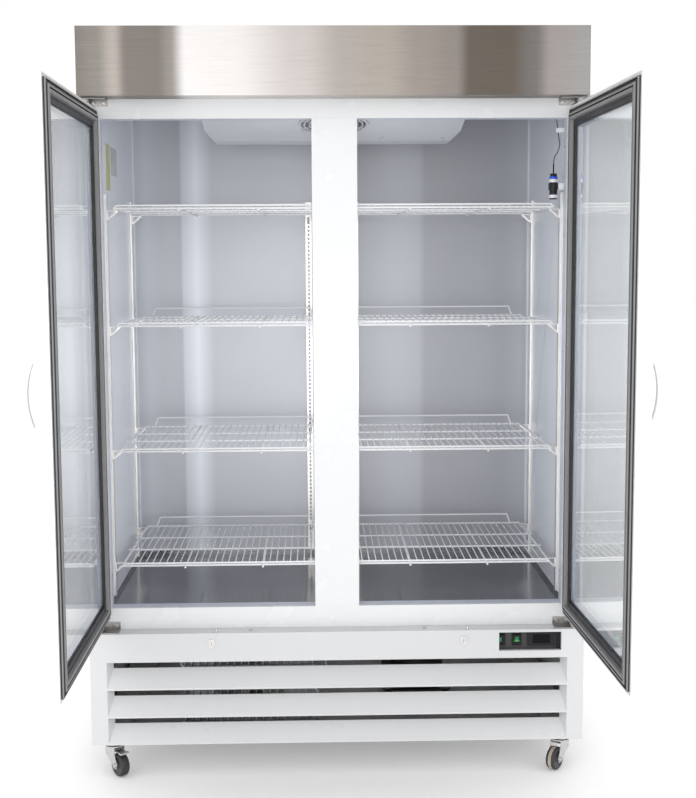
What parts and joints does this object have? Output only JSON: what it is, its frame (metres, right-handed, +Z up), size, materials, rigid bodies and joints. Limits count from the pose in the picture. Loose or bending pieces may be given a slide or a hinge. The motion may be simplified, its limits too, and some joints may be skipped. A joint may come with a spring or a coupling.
{
  "type": "glass door merchandiser",
  "caption": "Free-standing refrigerated display cabinet with swing glass doors standing open, wire shelves, louvred base and casters.",
  "frame": {"origin": "on the floor, under the middle of the cabinet with its doors open", "axes": "+Z up, +X to the right of a person who faces the doors, +Y towards the cabinet's back"},
  "size_m": [1.4472, 1.4093, 2.046],
  "materials": {
    "white_steel": "gloss",
    "header_steel": "brushed",
    "liner_metal": "satin",
    "floor_steel": "polished",
    "foam": "matte",
    "strip_plastic": "satin",
    "door_glass": "clear",
    "gasket_rubber": "matte",
    "handle_plastic": "gloss",
    "shelf_wire": "gloss",
    "zinc": "satin",
    "cover_metal": "satin",
    "coil_metal": "satin",
    "black_steel": "satin",
    "grey_steel": "matte",
    "black_plastic": "satin",
    "guard_plastic": "satin",
    "probe_plastic": "gloss",
    "cable_plastic": "satin",
    "tread_rubber": "matte",
    "rocker_plastic": "gloss"
  },
  "bodies": {
    "cabinet": {"outer_shell": "white_steel", "insulation": "foam", "inner_liner": "liner_metal", "floor_pan": "floor_steel", "front_frame": "white_steel", "mullion": "white_steel", "breaker_strips": "strip_plastic", "header_panel": "header_steel", "louvre_panel": "white_steel", "base_chassis": "grey_steel", "control_panel": "black_plastic", "compressor": "black_steel", "condenser": "coil_metal", "evaporator_cover": "cover_metal", "evaporator_coil": "coil_metal", "fan_guard": "guard_plastic", "shelf_supports": "zinc", "hinge_brackets": "zinc", "lock_housings": "zinc", "screws": "zinc", "probe_bottle": "probe_plastic", "probe_cable": "cable_plastic", "caster_plates": "zinc"},
    "left_door": {"left_door_frame": "white_steel", "left_door_glass": "door_glass", "left_door_gasket": "gasket_rubber", "left_door_handle": "handle_plastic"},
    "left_shelf_1": {"left_shelf_1": "shelf_wire"},
    "left_shelf_2": {"left_shelf_2": "shelf_wire"},
    "left_shelf_3": {"left_shelf_3": "shelf_wire"},
    "left_shelf_4": {"left_shelf_4": "shelf_wire"},
    "left_lock_plug": {"left_lock_plug": "zinc"},
    "left_lock_bolt": {"left_lock_bolt": "zinc"},
    "left_upper_button": {"left_upper_button": "black_plastic"},
    "left_lower_button": {"left_lower_button": "black_plastic"},
    "right_door": {"right_door_frame": "white_steel", "right_door_glass": "door_glass", "right_door_gasket": "gasket_rubber", "right_door_handle": "handle_plastic"},
    "right_shelf_1": {"right_shelf_1": "shelf_wire"},
    "right_shelf_2": {"right_shelf_2": "shelf_wire"},
    "right_shelf_3": {"right_shelf_3": "shelf_wire"},
    "right_shelf_4": {"right_shelf_4": "shelf_wire"},
    "right_lock_plug": {"right_lock_plug": "zinc"},
    "right_lock_bolt": {"right_lock_bolt": "zinc"},
    "right_upper_button": {"right_upper_button": "black_plastic"},
    "right_lower_button": {"right_lower_button": "black_plastic"},
    "front_left_fork": {"front_left_fork": "zinc"},
    "front_left_wheel": {"front_left_wheel": "tread_rubber"},
    "front_left_brake": {"front_left_brake": "zinc"},
    "front_right_fork": {"front_right_fork": "zinc"},
    "front_right_wheel": {"front_right_wheel": "tread_rubber"},
    "rear_left_fork": {"rear_left_fork": "zinc"},
    "rear_left_wheel": {"rear_left_wheel": "tread_rubber"},
    "rear_right_fork": {"rear_right_fork": "zinc"},
    "rear_right_wheel": {"rear_right_wheel": "tread_rubber"},
    "power_rocker": {"power_rocker": "rocker_plastic"},
    "light_rocker": {"light_rocker": "rocker_plastic"},
    "evaporator_fan": {"evaporator_fan_blade": "black_plastic"},
    "condenser_fan": {"condenser_fan_blade": "coil_metal"}
  },
  "joints": [
    {"name": "left_door_swing", "type": "hinge", "parent": "cabinet", "child": "left_door", "pos_m": [-0.659, -0.0485, 1.1415], "axis": [0, 0, -1], "range_deg": [-90, 20]},
    {"name": "left_shelf_1_lift", "type": "slide", "parent": "cabinet", "child": "left_shelf_1", "axis": [0, 0, 1], "range_m": [0, 0.025]},
    {"name": "left_shelf_2_lift", "type": "slide", "parent": "cabinet", "child": "left_shelf_2", "axis": [0, 0, 1], "range_m": [0, 0.025]},
    {"name": "left_shelf_3_lift", "type": "slide", "parent": "cabinet", "child": "left_shelf_3", "axis": [0, 0, 1], "range_m": [0, 0.025]},
    {"name": "left_shelf_4_lift", "type": "slide", "parent": "cabinet", "child": "left_shelf_4", "axis": [0, 0, 1], "range_m": [0, 0.025]},
    {"name": "left_lock_turn", "type": "hinge", "parent": "cabinet", "child": "left_lock_plug", "pos_m": [-0.35, -0.06, 0.3826], "axis": [0, -1, 0], "range_deg": [0, 90]},
    {"name": "left_lock_bolt_lift", "type": "slide", "parent": "cabinet", "child": "left_lock_bolt", "axis": [0, 0, 1], "range_m": [0, 0.028]},
    {"name": "left_upper_button_press", "type": "slide", "parent": "cabinet", "child": "left_upper_button", "axis": [0, 1, 0], "range_m": [0, 0.0006], "stiffness_N_per_m": 400, "springref_m": -0.0002},
    {"name": "left_lower_button_press", "type": "slide", "parent": "cabinet", "child": "left_lower_button", "axis": [0, 1, 0], "range_m": [0, 0.0006], "stiffness_N_per_m": 400, "springref_m": -0.0002},
    {"name": "right_door_swing", "type": "hinge", "parent": "cabinet", "child": "right_door", "pos_m": [0.659, -0.0485, 1.1415], "axis": [0, 0, 1], "range_deg": [-91.8, 18.2]},
    {"name": "right_shelf_1_lift", "type": "slide", "parent": "cabinet", "child": "right_shelf_1", "axis": [0, 0, 1], "range_m": [0, 0.025]},
    {"name": "right_shelf_2_lift", "type": "slide", "parent": "cabinet", "child": "right_shelf_2", "axis": [0, 0, 1], "range_m": [0, 0.025]},
    {"name": "right_shelf_3_lift", "type": "slide", "parent": "cabinet", "child": "right_shelf_3", "axis": [0, 0, 1], "range_m": [0, 0.025]},
    {"name": "right_shelf_4_lift", "type": "slide", "parent": "cabinet", "child": "right_shelf_4", "axis": [0, 0, 1], "range_m": [0, 0.012]},
    {"name": "right_lock_turn", "type": "hinge", "parent": "cabinet", "child": "right_lock_plug", "pos_m": [0.35, -0.06, 0.3826], "axis": [0, -1, 0], "range_deg": [0, 90]},
    {"name": "right_lock_bolt_lift", "type": "slide", "parent": "cabinet", "child": "right_lock_bolt", "axis": [0, 0, 1], "range_m": [0, 0.028]},
    {"name": "right_upper_button_press", "type": "slide", "parent": "cabinet", "child": "right_upper_button", "axis": [0, 1, 0], "range_m": [0, 0.0006], "stiffness_N_per_m": 400, "springref_m": -0.0002},
    {"name": "right_lower_button_press", "type": "slide", "parent": "cabinet", "child": "right_lower_button", "axis": [0, 1, 0], "range_m": [0, 0.0006], "stiffness_N_per_m": 400, "springref_m": -0.0002},
    {"name": "front_left_swivel", "type": "hinge", "parent": "cabinet", "child": "front_left_fork", "pos_m": [-0.63, -0.022, 0.085], "axis": [0, 0, 1], "continuous": true},
    {"name": "front_left_roll", "type": "hinge", "parent": "front_left_fork", "child": "front_left_wheel", "pos_m": [-0.61153, -0.04564, 0.0325], "axis": [0.788, 0.6157, 0], "continuous": true},
    {"name": "front_left_brake_press", "type": "hinge", "parent": "front_left_fork", "child": "front_left_brake", "pos_m": [-0.62138, -0.03303, 0.07], "axis": [0.788, 0.6157, 0], "range_deg": [0, 10]},
    {"name": "front_right_swivel", "type": "hinge", "parent": "cabinet", "child": "front_right_fork", "pos_m": [0.63, -0.022, 0.085], "axis": [0, 0, 1], "continuous": true},
    {"name": "front_right_roll", "type": "hinge", "parent": "front_right_fork", "child": "front_right_wheel", "pos_m": [0.61153, -0.04564, 0.0325], "axis": [0.788, -0.6157, 0], "continuous": true},
    {"name": "rear_left_swivel", "type": "hinge", "parent": "cabinet", "child": "rear_left_fork", "pos_m": [-0.63, 0.64, 0.085], "axis": [0, 0, 1], "continuous": true},
    {"name": "rear_left_roll", "type": "hinge", "parent": "rear_left_fork", "child": "rear_left_wheel", "pos_m": [-0.61732, 0.66719, 0.0325], "axis": [-0.9063, 0.4226, 0], "continuous": true},
    {"name": "rear_right_swivel", "type": "hinge", "parent": "cabinet", "child": "rear_right_fork", "pos_m": [0.63, 0.64, 0.085], "axis": [0, 0, 1], "continuous": true},
    {"name": "rear_right_roll", "type": "hinge", "parent": "rear_right_fork", "child": "rear_right_wheel", "pos_m": [0.61974, 0.66819, 0.0325], "axis": [-0.9397, -0.342, 0], "continuous": true},
    {"name": "power_rocker_tilt", "type": "hinge", "parent": "cabinet", "child": "power_rocker", "pos_m": [0.4555, -0.038, 0.3795], "axis": [-1, 0, 0], "range_deg": [0, 16]},
    {"name": "light_rocker_tilt", "type": "hinge", "parent": "cabinet", "child": "light_rocker", "pos_m": [0.5012, -0.038, 0.3795], "axis": [-1, 0, 0], "range_deg": [0, 16]},
    {"name": "evaporator_fan_spin", "type": "hinge", "parent": "cabinet", "child": "evaporator_fan", "pos_m": [0, 0.13567, 1.8452], "axis": [0, 0.1891, 0.982], "continuous": true},
    {"name": "condenser_fan_spin", "type": "hinge", "parent": "cabinet", "child": "condenser_fan", "pos_m": [-0.25, 0.072, 0.245], "axis": [0, 1, 0], "continuous": true}
  ],
  "couplings": [
    {"joint": "left_lock_turn", "follows": "left_lock_bolt_lift", "rad_per_m": 56},
    {"joint": "right_lock_turn", "follows": "right_lock_bolt_lift", "rad_per_m": 56}
  ]
}
